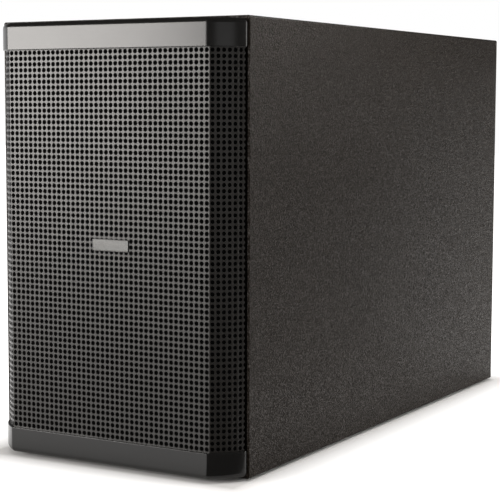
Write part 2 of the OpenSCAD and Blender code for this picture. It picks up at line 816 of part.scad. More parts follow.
side_panel_left();
side_panel_right();
top_panel();
bottom_panel();
rear_panel();
front_baffle();
inner_divider();
port_tube_left();
port_tube_right();
top_cap();
bottom_cap();
grille();
grille_foam();
badge();
front_basket();
front_magnet();
front_surround();
front_spider();
front_cone();
front_coil();
inner_basket();
inner_magnet();
inner_surround();
inner_spider();
inner_cone();
inner_coil();
driver_screws();
amp_plate();
heat_sink();
circuit_board();
power_supply();
input_socket_left();
input_socket_right();
output_socket_left();
output_socket_right();
mains_inlet();
power_switch();
gain_knob();
mode_button();
phase_button();
led_lenses();
amp_screws();
pole_socket();
handle_dish();
top_screws();
feet();
caster_base_1();
caster_base_2();
caster_base_3();
caster_base_4();
caster_fork_1();
caster_fork_2();
caster_fork_3();
caster_fork_4();
caster_wheel_1();
caster_wheel_2();
caster_wheel_3();
caster_wheel_4();
caster_bolts();
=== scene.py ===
import math
import random

import bmesh
import bpy
from bpy.props import FloatProperty, FloatVectorProperty, IntProperty, PointerProperty
from mathutils import Matrix, Vector


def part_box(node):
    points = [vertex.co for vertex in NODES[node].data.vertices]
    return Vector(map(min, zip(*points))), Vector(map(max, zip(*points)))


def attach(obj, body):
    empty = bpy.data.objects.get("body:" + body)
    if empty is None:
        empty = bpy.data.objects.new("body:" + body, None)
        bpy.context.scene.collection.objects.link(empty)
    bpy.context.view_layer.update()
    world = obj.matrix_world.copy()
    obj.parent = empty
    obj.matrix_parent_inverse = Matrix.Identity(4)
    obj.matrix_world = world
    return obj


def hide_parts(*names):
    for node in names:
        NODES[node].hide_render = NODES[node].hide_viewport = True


bl_info = {
    "name": "Bass Cabinet Builder",
    "version": (1, 0, 0),
    "blender": (4, 5, 0),
    "location": "View3D > Sidebar > Cabinet",
    "description": "Dresses the bass cabinet of a column loudspeaker system",
    "category": "Object",
}

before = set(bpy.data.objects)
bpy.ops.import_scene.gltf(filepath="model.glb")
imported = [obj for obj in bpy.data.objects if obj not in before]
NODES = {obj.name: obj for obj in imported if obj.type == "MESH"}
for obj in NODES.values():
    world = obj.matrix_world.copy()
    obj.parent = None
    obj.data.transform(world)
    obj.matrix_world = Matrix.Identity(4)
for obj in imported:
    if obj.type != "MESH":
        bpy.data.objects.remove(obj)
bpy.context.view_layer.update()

MM = 0.001
# How far a cap's ends stay in front of the side panels, and how far the grille's wings reach past its box
CAP_END_GAP = 0.8 * MM
GRILLE_PAST = 0.8 * MM
# Shader inputs that every surface group feeds
SURFACE = {"Color": "NodeSocketColor", "Roughness": "NodeSocketFloat", "Normal": "NodeSocketVector"}
CAP_TOP_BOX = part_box("top_cap")
CAP_LOW_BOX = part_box("bottom_cap")
GRILLE_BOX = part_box("grille")
SIDE_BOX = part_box("side_panel_right")
FRONT_Y = CAP_TOP_BOX[0][1]
REAR_Y = SIDE_BOX[1][1]
CAB_HALF = SIDE_BOX[1][0]
CAB_LOW = SIDE_BOX[0][2]
CAB_TOP = SIDE_BOX[1][2]
GRILLE_INSET = GRILLE_BOX[0][1] - FRONT_Y


# ---- sizes and colours that a user would change ----
class FrontSizes(bpy.types.PropertyGroup):
    flat_half: FloatProperty(name="Flat half width", description="Half of the flat part of the front",
                             default=0.158, unit="LENGTH")
    wing_angle: FloatProperty(name="Wing angle", description="Angle of a wing's chord to the flat front",
                              default=math.radians(47), subtype="ANGLE")
    wing_chord: FloatProperty(name="Wing chord", description="Length of a wing's chord",
                              default=0.054, unit="LENGTH")
    wing_bulge: FloatProperty(name="Wing bulge", description="Height of a wing's curve over its chord",
                              default=0.0035, unit="LENGTH")
    sheet: FloatProperty(name="Sheet", description="Thickness of the grille sheet",
                         default=0.0012, unit="LENGTH")
    foam: FloatProperty(name="Foam", description="Thickness of the foam behind the grille",
                        default=0.005, unit="LENGTH")
    wing_shift: FloatProperty(name="Wing shift", description="Outward shift of the grille's wings",
                              default=0.0026, unit="LENGTH")
    flat_columns: IntProperty(name="Columns", description="Columns of holes on the flat part", default=41)
    wing_columns: IntProperty(name="Wing columns", description="Whole columns of holes on a wing", default=6)
    wing_edge: FloatProperty(name="Wing edge", description="Part of a column left past the last whole one",
                             default=0.40, subtype="FACTOR")
    rows: IntProperty(name="Rows", description="Rows of holes", default=67)
    hole_share: FloatProperty(name="Hole share", description="Hole diameter over the pitch",
                              default=0.76, subtype="FACTOR")
    hole_round: FloatProperty(name="Hole rounding", description="Rounding of a hole's front rim",
                              default=0.00035, unit="LENGTH")
    outer_fillet: FloatProperty(name="Outer fillet", description="Rounding of a cap's outer rim",
                                default=0.0068, unit="LENGTH")
    crease_round: FloatProperty(name="Crease rounding", description="Rounding between flat and wing",
                                default=0.0012, unit="LENGTH")
    end_round: FloatProperty(name="End rounding", description="Rounding of a cap's two ends",
                             default=0.0050, unit="LENGTH")
    lip_fillet: FloatProperty(name="Lip fillet", description="Rounding of a cap's rim at the grille",
                              default=0.0010, unit="LENGTH")


class Finishes(bpy.types.PropertyGroup):
    coat: FloatVectorProperty(name="Coat", description="Textured paint of the cabinet",
                              default=(0.0130, 0.0104, 0.0082), subtype="COLOR")
    cap: FloatVectorProperty(name="Caps", description="Moulded caps", default=(0.008, 0.0078, 0.0075),
                             subtype="COLOR")
    grille: FloatVectorProperty(name="Grille", description="Powder coat of the grille",
                                default=(0.016, 0.0148, 0.0135), subtype="COLOR")
    zinc: FloatVectorProperty(name="Zinc", description="Zinc plate of the casters",
                              default=(0.56, 0.57, 0.60), subtype="COLOR")


class StageSizes(bpy.types.PropertyGroup):
    lens: FloatProperty(name="Lens", description="Focal length on a 36 mm sensor", default=109.31)
    azimuth: FloatProperty(name="Azimuth", description="Heading of the view", default=math.radians(30.106),
                           subtype="ANGLE")
    pitch: FloatProperty(name="Pitch", description="Downward tilt of the view",
                         default=math.radians(5.4595), subtype="ANGLE")
    roll: FloatProperty(name="Roll", description="Roll of the view", default=math.radians(0.156),
                        subtype="ANGLE")
    eye: FloatVectorProperty(name="Eye", description="Camera place from the middle of the front's foot",
                             default=(1.1622, -1.6223, 0.4814), subtype="TRANSLATION")


# ---- mesh helpers ----
def new_piece(name, verts, faces, body, slot, stands_for=(), angle=math.radians(30)):
    """A mesh object that rides on a body, smooth except at edges sharper than angle."""
    mesh = bpy.data.meshes.new(name)
    mesh.from_pydata(verts, [], faces)
    mesh.validate()
    finish_mesh(mesh, angle)
    piece = bpy.data.objects.new(name, mesh)
    bpy.context.scene.collection.objects.link(piece)
    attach(piece, body)
    if stands_for:
        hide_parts(*stands_for)
    return piece


def finish_mesh(mesh, angle):
    """Points all faces outwards and sets smooth shading."""
    form = bmesh.new()
    form.from_mesh(mesh)
    bmesh.ops.recalc_face_normals(form, faces=form.faces)
    form.to_mesh(mesh)
    form.free()
    mesh.shade_smooth()
    mesh.set_sharp_from_angle(angle=angle)


def paint(piece, *materials):
    """Gives a piece its materials, in the order of its faces' indices."""
    piece.data.materials.clear()
    for material in materials:
        piece.data.materials.append(material)


def soften(node, width, segments=2, angle=math.radians(35)):
    """Rounds the sharp edges of a carried-over node."""
    item = NODES[node]
    item.data.shade_smooth()
    item.data.set_sharp_from_angle(angle=math.radians(30))
    bevel = item.modifiers.new("soft_edges", "BEVEL")
    bevel.width = width
    bevel.segments = segments
    bevel.limit_method = "ANGLE"
    bevel.angle_limit = angle
    bevel.harden_normals = True


def lathe(profile, count, place, closed=True, spin=None):
    """Turns (radius, height) points round the local z axis. spin(angle, index, r, h) may change a point."""
    verts = []
    for k in range(count):
        angle = 2 * math.pi * k / count
        for i, (r, h) in enumerate(profile):
            if spin:
                r, h = spin(angle, i, r, h)
            verts.append(place @ Vector((r * math.cos(angle), r * math.sin(angle), h)))
    faces = []
    n = len(profile)
    spans = n if closed else n - 1
    for k in range(count):
        for i in range(spans):
            j = (i + 1) % n
            other = (k + 1) % count
            faces.append((k * n + i, k * n + j, other * n + j, other * n + i))
    if not closed:
        faces.append(tuple(k * n for k in range(count)))
        faces.append(tuple(k * n + n - 1 for k in reversed(range(count))))
    return verts, faces


def bands(rings, width, closed=True, start=0):
    """Quads between neighbouring rings of points, each width points long."""
    faces = []
    for ring in range(rings - 1):
        first = start + ring * width
        for k in range(width if closed else width - 1):
            other = (k + 1) % width
            faces.append((first + k, first + other, first + width + other, first + width + k))
    return faces


def join_parts(parts):
    """Several (verts, faces) as one."""
    verts = []
    faces = []
    for part_verts, part_faces in parts:
        start = len(verts)
        verts.extend(part_verts)
        faces.extend(tuple(start + i for i in face) for face in part_faces)
    return verts, faces


def axis_place(point, axis):
    """A matrix that puts the local z axis along axis at point."""
    turn = Vector((0, 0, 1)).rotation_difference(Vector(axis)).to_matrix().to_4x4()
    return Matrix.Translation(Vector(point)) @ turn


def islands(node):
    """The boxes of a node's separate solids, as (lowest, highest) corners."""
    form = bmesh.new()
    form.from_mesh(NODES[node].data)
    bmesh.ops.remove_doubles(form, verts=form.verts, dist=1e-6)
    seen = set()
    boxes = []
    for first in form.verts:
        if first in seen:
            continue
        stack = [first]
        seen.add(first)
        low = first.co.copy()
        high = first.co.copy()
        while stack:
            vert = stack.pop()
            low = Vector(map(min, low, vert.co))
            high = Vector(map(max, high, vert.co))
            for edge in vert.link_edges:
                other = edge.other_vert(vert)
                if other not in seen:
                    seen.add(other)
                    stack.append(other)
        boxes.append((low, high))
    form.free()
    return boxes


# ---- the front's outline ----
class FrontCurve:
    """The flat front moved inwards by a distance, with its wings moved outwards by another."""

    def __init__(self, sizes, inset, shift=0.0):
        rise = sizes.wing_bulge
        chord = sizes.wing_chord
        self.inset = inset
        outer = chord * chord / (8 * rise) + rise / 2
        reach = outer - rise
        sin_a = math.sin(sizes.wing_angle)
        cos_a = math.cos(sizes.wing_angle)
        self.centre_x = sizes.flat_half + shift + chord / 2 * cos_a - reach * sin_a
        self.centre_y = chord / 2 * sin_a + reach * cos_a
        self.radius = outer - inset
        drop = self.centre_y - inset
        self.crease = self.centre_x + math.sqrt(self.radius ** 2 - drop ** 2)
        self.start = math.atan2(inset - self.centre_y, self.crease - self.centre_x)

    def arc(self, angle):
        """A point of the right wing at an angle past the crease."""
        turn = self.start + angle
        return (self.centre_x + self.radius * math.cos(turn), self.centre_y + self.radius * math.sin(turn))

    def angle_at(self, depth):
        """The angle past the crease at which the right wing reaches a depth."""
        return math.asin((depth - self.centre_y) / self.radius) - self.start


def front_point(x, y, z):
    return (x, FRONT_Y + y, z)


# ---- node groups ----
def new_group(name, inputs, outputs):
    """A shader group with named input defaults and output types, and the nodes that each group needs."""
    group = bpy.data.node_groups.new(name, "ShaderNodeTree")
    for label, default in inputs.items():
        kind = {1: "NodeSocketFloat", 3: "NodeSocketVector", 4: "NodeSocketColor"}[
            1 if isinstance(default, float) else len(default)]
        group.interface.new_socket(label, in_out="INPUT", socket_type=kind).default_value = default
    for label, kind in outputs.items():
        group.interface.new_socket(label, in_out="OUTPUT", socket_type=kind)
    w = Wiring(group)
    ins = group.nodes.new("NodeGroupInput")
    outs = group.nodes.new("NodeGroupOutput")
    return group, w, ins.outputs, outs.inputs, w.place()


class Wiring:
    """Short names for adding and joining nodes in one tree."""

    def __init__(self, tree):
        self.tree = tree

    def add(self, kind, **values):
        node = self.tree.nodes.new("ShaderNode" + kind)
        for key, value in values.items():
            setattr(node, key, value)
        return node

    def join(self, source, target):
        self.tree.links.new(source, target)

    def place(self):
        """Where a point lies on the object."""
        return self.add("TexCoord").outputs["Object"]

    def parts(self, vector):
        """A vector's three numbers."""
        node = self.add("SeparateXYZ")
        self.join(vector, node.inputs[0])
        return node.outputs

    def scaled(self, colour, factor):
        """A colour times a number."""
        node = self.add("VectorMath", operation="SCALE")
        self.join(colour, node.inputs[0])
        self.join(factor, node.inputs["Scale"])
        return node.outputs[0]

    def noise(self, vector, scale, detail=2.0, rough=0.5):
        node = self.add("TexNoise")
        self.feed(node.inputs["Scale"], scale)
        node.inputs["Detail"].default_value = detail
        node.inputs["Roughness"].default_value = rough
        self.join(vector, node.inputs["Vector"])
        return node.outputs["Fac"]

    def feed(self, socket, value):
        if isinstance(value, bpy.types.NodeSocket):
            self.join(value, socket)
        else:
            socket.default_value = value

    def math(self, operation, first, second=0.0):
        node = self.add("Math", operation=operation)
        self.feed(node.inputs[0], first)
        self.feed(node.inputs[1], second)
        return node.outputs[0]

    def span(self, value, low, high, to_low=0.0, to_high=1.0):
        node = self.add("MapRange")
        for key, item in zip(("Value", "From Min", "From Max", "To Min", "To Max"),
                             (value, low, high, to_low, to_high)):
            self.feed(node.inputs[key], item)
        return node.outputs["Result"]

    def mix(self, share, first, second):
        node = self.add("Mix", data_type="RGBA")
        self.feed(node.inputs[0], share)
        self.feed(node.inputs[6], first)
        self.feed(node.inputs[7], second)
        return node.outputs[2]

    def bump(self, height, distance):
        node = self.add("Bump")
        node.inputs["Strength"].default_value = 1.0
        self.feed(node.inputs["Distance"], distance)
        self.join(height, node.inputs["Height"])
        return node.outputs["Normal"]


def grain_group():
    """Fine moulded or sprayed grain: uneven colour, roughness and normal."""
    group, w, ins, outs, place = new_group("Surface Grain", {
        "Base": (0.1, 0.1, 0.1, 1.0), "Scale": 900.0, "Depth": 0.00005, "Rough": 0.4,
        "Unevenness": 0.12}, SURFACE)
    fine = w.noise(place, ins["Scale"], 3.0, 0.6)
    clouds = w.math("SUBTRACT", w.noise(place, 9.0, 3.0, 0.55), 0.5)
    shade = w.math("ADD", 1.0, w.math("MULTIPLY", clouds, ins["Unevenness"]))
    drift = w.math("MULTIPLY", clouds, w.math("MULTIPLY", ins["Unevenness"], 0.8))
    w.join(w.scaled(ins["Base"], shade), outs["Color"])
    w.join(w.math("ADD", ins["Rough"], drift), outs["Roughness"])
    w.join(w.bump(fine, ins["Depth"]), outs["Normal"])
    return group


def pebble_group():
    """Sprayed texture coat: raised beads of uneven gloss over a duller ground, whose colour varies from cell
    to cell, its brightest specks a painted glint.
    """
    group, w, ins, outs, place = new_group("Pebble Coat", {
        "Base": (0.03, 0.03, 0.03, 1.0), "Bead": 420.0, "Depth": 0.0004, "Rough": 0.5},
        {**SURFACE, "Gloss": "NodeSocketFloat"})
    beads = w.add("TexVoronoi", feature="SMOOTH_F1")
    w.join(place, beads.inputs["Vector"])
    w.join(ins["Bead"], beads.inputs["Scale"])
    beads.inputs["Smoothness"].default_value = 0.5
    cells = w.add("TexVoronoi", feature="F1")
    w.join(place, cells.inputs["Vector"])
    w.join(w.math("MULTIPLY", ins["Bead"], 1.75), cells.inputs["Scale"])
    picked = w.add("SeparateColor")
    w.join(cells.outputs["Color"], picked.inputs[0])
    specks = picked.outputs[0]
    swell = w.span(w.noise(place, 160.0, 3.0, 0.6), 0.3, 0.7, 0.5, 1.0)
    round_top = w.math("SUBTRACT", 1.0, beads.outputs["Distance"])
    height = w.math("ADD", w.math("MULTIPLY", round_top, swell),
                    w.math("MULTIPLY", w.noise(place, 900.0, 2.0), 0.6))
    # Random cells darken or brighten the colour up to twice over: the bright specks are painted glints, and
    # the same cells also lower the roughness.
    painted_glint_and_gloss = w.span(w.math("POWER", specks, 2.0), 0.0, 1.0, -0.95, 2.2)
    shade = w.math("ADD", 1.0, w.math("MULTIPLY", painted_glint_and_gloss, 0.5))
    clouds = w.span(w.noise(place, 5.0, 2.0, 0.5), 0.3, 0.7, 0.95, 1.05)
    w.join(w.scaled(ins["Base"], w.math("MULTIPLY", shade, clouds)), outs["Color"])
    w.join(w.math("ADD", ins["Rough"], w.math("MULTIPLY", painted_glint_and_gloss, -0.14)), outs["Roughness"])
    w.join(w.math("POWER", specks, 4.0), outs["Gloss"])
    w.join(w.bump(height, ins["Depth"]), outs["Normal"])
    return group


def brushed_group():
    """Metal with fine scratches along one axis."""
    group, w, ins, outs, place = new_group("Brushed", {
        "Base": (0.5, 0.5, 0.5, 1.0), "Stretch": (30.0, 2500.0, 2500.0), "Rough": 0.35,
        "Depth": 0.00002}, SURFACE)
    longways = w.add("VectorMath", operation="MULTIPLY")
    w.join(place, longways.inputs[0])
    w.join(ins["Stretch"], longways.inputs[1])
    lines = w.noise(longways.outputs[0], 1.0, 3.0, 0.6)
    clouds = w.span(w.noise(place, 60.0, 4.0, 0.6), 0.3, 0.7, 0.9, 1.08)
    shade = w.math("MULTIPLY", w.span(lines, 0.3, 0.7, 0.88, 1.1), clouds)
    w.join(w.scaled(ins["Base"], shade), outs["Color"])
    w.join(w.math("ADD", ins["Rough"], w.span(lines, 0.3, 0.7, -0.08, 0.08)), outs["Roughness"])
    w.join(w.bump(lines, ins["Depth"]), outs["Normal"])
    return group


def dust_group():
    """Mask of light dust and scuffs that gather low down and on upward faces."""
    group, w, ins, outs, place = new_group("Dust", {"Reach": 0.08, "Amount": 0.25},
                                           {"Mask": "NodeSocketFloat"})
    up = w.parts(w.add("NewGeometry").outputs["Normal"])[2]
    near = w.math("MINIMUM", w.math("DIVIDE", w.parts(place)[2], ins["Reach"]), 1.0)
    low = w.math("SUBTRACT", 1.0, near)
    patch = w.span(w.noise(place, 35.0, 5.0, 0.65), 0.45, 0.75)
    lie = w.math("ADD", w.math("MULTIPLY", low, 0.7),
                 w.math("MULTIPLY", w.math("MAXIMUM", up, 0.0), 0.35))
    w.join(w.math("MULTIPLY", w.math("MULTIPLY", lie, patch), ins["Amount"]), outs["Mask"])
    return group


GROUPS = {}
MATERIALS = {}


def material(name, rough=0.5, metallic=0.0, specular=0.5, coat=0.0, coat_rough=0.1, sheen=0.0):
    """A new Principled material with its plain values set on the shader's own sockets."""
    made = bpy.data.materials.new(name)
    made.use_nodes = True
    shader = made.node_tree.nodes["Principled BSDF"]
    shader.inputs["Roughness"].default_value = rough
    shader.inputs["Metallic"].default_value = metallic
    shader.inputs["Specular IOR Level"].default_value = specular
    shader.inputs["Coat Weight"].default_value = coat
    shader.inputs["Coat Roughness"].default_value = coat_rough
    shader.inputs["Sheen Weight"].default_value = sheen
    MATERIALS[name] = made
    return made, Wiring(made.node_tree), shader


def place_group(w, shader, label, values, dust=None):
    """Puts a surface group in a material and joins it to the shader, with dust over its colour."""
    node = w.tree.nodes.new("ShaderNodeGroup")
    node.node_tree = GROUPS[label]
    for key, value in values.items():
        node.inputs[key].default_value = value
    colour = node.outputs["Color"]
    if dust:
        mask = w.tree.nodes.new("ShaderNodeGroup")
        mask.node_tree = GROUPS["dust"]
        mask.inputs["Amount"].default_value = dust
        colour = w.mix(mask.outputs["Mask"], colour, (0.30, 0.28, 0.25, 1.0))
    w.join(colour, shader.inputs["Base Color"])
    w.join(node.outputs["Roughness"], shader.inputs["Roughness"])
    w.join(node.outputs["Normal"], shader.inputs["Normal"])
    return node


def grained(name, colour, rough, scale=900.0, depth=0.00005, uneven=0.12, dust=None, **plain):
    """A material with the shared grain."""
    made, w, shader = material(name, rough, **plain)
    place_group(w, shader, "grain", {"Base": (*colour, 1.0), "Scale": scale, "Depth": depth,
                                     "Rough": rough, "Unevenness": uneven}, dust)


def brushed(name, colour, rough, stretch, depth=0.00002):
    """A metal with the shared brushing."""
    made, w, shader = material(name, rough, metallic=1.0)
    place_group(w, shader, "brushed", {"Base": (*colour, 1.0), "Rough": rough, "Stretch": stretch,
                                       "Depth": depth})


def pebbled(name, colour, rough, bead, depth, shine, gloss):
    """The shared texture coat with a warm, weak shine, whose glossiest beads have a clear coat."""
    made, w, shader = material(name, rough, specular=shine, coat_rough=0.32)
    shader.inputs["Specular Tint"].default_value = (1.0, 0.86, 0.74, 1.0)
    beads = place_group(w, shader, "pebble", {"Base": (*colour, 1.0), "Bead": bead, "Depth": depth,
                                              "Rough": rough})
    w.join(w.math("MULTIPLY", beads.outputs["Gloss"], gloss), shader.inputs["Coat Weight"])


def wood_material():
    """Bare birch plywood with long grain."""
    made, w, shader = material("bare_birch", 0.6)
    stretch = w.add("Mapping")
    stretch.inputs["Scale"].default_value = (60.0, 60.0, 3.0)
    w.join(w.place(), stretch.inputs["Vector"])
    rings = w.noise(stretch.outputs[0], 1.0, 5.0, 0.6)
    w.join(w.mix(rings, (0.62, 0.44, 0.26, 1.0), (0.40, 0.26, 0.13, 1.0)), shader.inputs["Base Color"])
    w.join(w.bump(rings, 0.0001), shader.inputs["Normal"])


def weave_material(name, light, dark, pitch, depth):
    """Woven cloth from two crossed waves."""
    made, w, shader = material(name, 0.85, sheen=0.2)
    place = w.place()
    waves = []
    for axis in ("X", "Z"):
        wave = w.add("TexWave", bands_direction=axis)
        wave.inputs["Scale"].default_value = pitch
        wave.inputs["Distortion"].default_value = 0.4
        w.join(place, wave.inputs["Vector"])
        waves.append(wave.outputs["Fac"])
    both = w.math("MULTIPLY", waves[0], waves[1])
    w.join(w.mix(both, (*dark, 1.0), (*light, 1.0)), shader.inputs["Base Color"])
    w.join(w.bump(both, depth), shader.inputs["Normal"])


def copper_material():
    """Turns of varnished wire round the coil."""
    made, w, shader = material("coil_wire", 0.3, metallic=1.0, coat=0.4)
    wave = w.add("TexWave", bands_direction="Y")
    wave.inputs["Scale"].default_value = 600.0
    w.join(w.place(), wave.inputs["Vector"])
    w.join(w.mix(wave.outputs["Fac"], (0.35, 0.14, 0.06, 1.0), (0.75, 0.38, 0.18, 1.0)),
           shader.inputs["Base Color"])
    w.join(w.bump(wave.outputs["Fac"], 0.0001), shader.inputs["Normal"])


def board_material():
    """Circuit board with copper tracks under green varnish."""
    made, w, shader = material("board_varnish", 0.35, coat=0.5)
    tracks = w.add("TexBrick")
    tracks.inputs["Scale"].default_value = 90.0
    tracks.inputs["Mortar Size"].default_value = 0.06
    tracks.inputs["Color1"].default_value = (0.010, 0.070, 0.028, 1.0)
    tracks.inputs["Color2"].default_value = (0.012, 0.085, 0.034, 1.0)
    tracks.inputs["Mortar"].default_value = (0.03, 0.16, 0.07, 1.0)
    turn = w.add("Mapping")
    turn.inputs["Rotation"].default_value = (math.radians(90), 0, 0)
    w.join(w.place(), turn.inputs["Vector"])
    w.join(turn.outputs[0], tracks.inputs["Vector"])
    w.join(tracks.outputs["Color"], shader.inputs["Base Color"])
    w.join(w.bump(tracks.outputs["Fac"], 0.0001), shader.inputs["Normal"])


def lens_material():
    """Small green lamp with a brighter core."""
    made, w, shader = material("lamp_lens", 0.2, coat=0.6)
    clouds = w.noise(w.place(), 900.0, 2.0)
    w.join(w.mix(clouds, (0.10, 0.55, 0.16, 1.0), (0.25, 0.80, 0.30, 1.0)), shader.inputs["Base Color"])
    w.join(w.mix(clouds, (0.05, 0.5, 0.10, 1.0), (0.10, 0.9, 0.20, 1.0)), shader.inputs["Emission Color"])
    shader.inputs["Emission Strength"].default_value = 0.5


# ---- operators ----
class MaterialsOperator(bpy.types.Operator):
    """Builds the node groups and the materials"""
    bl_idname = "cabinet.materials"
    bl_label = "Materials"

    def execute(self, context):
        tone = context.scene.cabinet_finishes
        GROUPS.update(grain=grain_group(), pebble=pebble_group(), brushed=brushed_group(), dust=dust_group())
        coat = tuple(tone.coat)
        cap = tuple(tone.cap)
        grille = tuple(tone.grille)
        zinc = tuple(tone.zinc)
        pebbled("texture_coat", coat, 0.38, 430.0, 0.0012, 0.032, 0.45)
        pebbled("baffle_paint", (0.012, 0.012, 0.012), 0.7, 500.0, 0.0002, 0.3, 0.05)
        grained("cap_moulding", cap, 0.22, 700.0, 0.00002, 0.10, specular=0.34)
        grained("grille_coat", grille, 0.31, 2200.0, 0.00002, 0.10, specular=0.34)
        grained("foam_black", (0.003, 0.003, 0.003), 0.95, 1600.0, 0.0006, 0.3, specular=0.0)
        brushed("badge_plate", (0.06, 0.06, 0.059), 0.21, (60.0, 5000.0, 5000.0), 0.000006)
        grained("basket_epoxy", (0.02, 0.02, 0.022), 0.45, 800.0, 0.00006)
        grained("magnet_ferrite", (0.05, 0.05, 0.055), 0.55, 500.0, 0.0001)
        grained("cone_pulp", (0.022, 0.022, 0.022), 0.8, 350.0, 0.0003, 0.3)
        grained("surround_rubber", (0.015, 0.015, 0.015), 0.6, 900.0, 0.00003)
        weave_material("spider_cloth", (0.62, 0.48, 0.22), (0.38, 0.28, 0.12), 500.0, 0.0003)
        copper_material()
        wood_material()
        board_material()
        lens_material()
        grained("port_plastic", (0.016, 0.016, 0.016), 0.4)
        brushed("black_steel", (0.06, 0.06, 0.065), 0.38, (400.0, 400.0, 400.0), 0.00001)
        grained("amp_powder", (0.020, 0.020, 0.022), 0.55, 1400.0, 0.00012, 0.08, dust=0.08)
        brushed("black_anodised", (0.035, 0.035, 0.038), 0.42, (2500.0, 2500.0, 40.0))
        brushed("zinc_plate", zinc, 0.33, (120.0, 120.0, 120.0), 0.00001)
        grained("socket_nylon", (0.022, 0.022, 0.024), 0.42, 1200.0, 0.00004)
        grained("knob_plastic", (0.020, 0.020, 0.021), 0.38, 1500.0, 0.00003)
        grained("button_plastic", (0.10, 0.10, 0.105), 0.45, 1500.0, 0.00003)
        grained("mark_white", (0.62, 0.62, 0.62), 0.5, 3000.0, 0.00001)
        grained("fitting_moulding", (0.020, 0.020, 0.020), 0.42, 1100.0, 0.00012, 0.12, dust=0.10)
        grained("socket_casting", (0.024, 0.024, 0.026), 0.48, 900.0, 0.00010, 0.12, dust=0.08)
        grained("foot_rubber", (0.016, 0.016, 0.016), 0.85, 700.0, 0.0002, dust=0.3)
        grained("tread_rubber", (0.045, 0.046, 0.048), 0.62, 900.0, 0.00010, 0.2, dust=0.25)
        grained("hub_nylon", (0.16, 0.16, 0.165), 0.4, 1100.0, 0.00005)
        return {"FINISHED"}


CASTER_BASES = tuple("caster_base_%d" % number for number in range(1, 5))
CASTER_FORKS = tuple("caster_fork_%d" % number for number in range(1, 5))
SOCKETS = ("input_socket_left", "input_socket_right", "output_socket_left", "output_socket_right",
           "mains_inlet")
# Material, and the nodes that carry it
NODE_LOOKS = {
    "texture_coat": ("side_panel_left", "side_panel_right", "top_panel", "bottom_panel", "rear_panel"),
    "baffle_paint": ("front_baffle",),
    "bare_birch": ("inner_divider",),
    "port_plastic": ("port_tube_left", "port_tube_right"),
    "basket_epoxy": ("front_basket", "inner_basket"),
    "magnet_ferrite": ("front_magnet", "inner_magnet"),
    "cone_pulp": ("front_cone", "inner_cone"),
    "surround_rubber": ("front_surround", "inner_surround"),
    "spider_cloth": ("front_spider", "inner_spider"),
    "coil_wire": ("front_coil", "inner_coil"),
    "amp_powder": ("amp_plate",),
    "black_anodised": ("heat_sink",),
    "board_varnish": ("circuit_board",),
    "zinc_plate": ("power_supply", *CASTER_BASES, *CASTER_FORKS),
    "socket_nylon": SOCKETS,
    "knob_plastic": ("power_switch",),
    "button_plastic": ("mode_button", "phase_button"),
    "lamp_lens": ("led_lenses",),
    "fitting_moulding": ("handle_dish",),
    "socket_casting": ("pole_socket",),
    "foot_rubber": ("feet",),
}
# Width of the softened edges in millimetres, and the nodes that have it
EDGE_WIDTHS = {
    0.35: ("heat_sink",),
    0.5: ("amp_plate", "power_switch", "mode_button", "phase_button", *SOCKETS, *CASTER_BASES),
    0.6: CASTER_FORKS,
    0.8: ("front_basket", "inner_basket", "power_supply"),
    0.9: ("pole_socket", "feet"),
    1.1: ("handle_dish",),
}
DIAL_SWEEP = math.radians(300)
DIAL_TICKS = 11


class DressOperator(bpy.types.Operator):
    """Gives the carried-over nodes their materials and rounds their edges"""
    bl_idname = "cabinet.dress"
    bl_label = "Dress nodes"

    def execute(self, context):
        for look, names in NODE_LOOKS.items():
            for name in names:
                item = NODES[name]
                item.data.shade_smooth()
                item.data.set_sharp_from_angle(angle=math.radians(30))
                paint(item, MATERIALS[look])
        for width, names in EDGE_WIDTHS.items():
            for name in names:
                soften(name, width * MM)
        return {"FINISHED"}


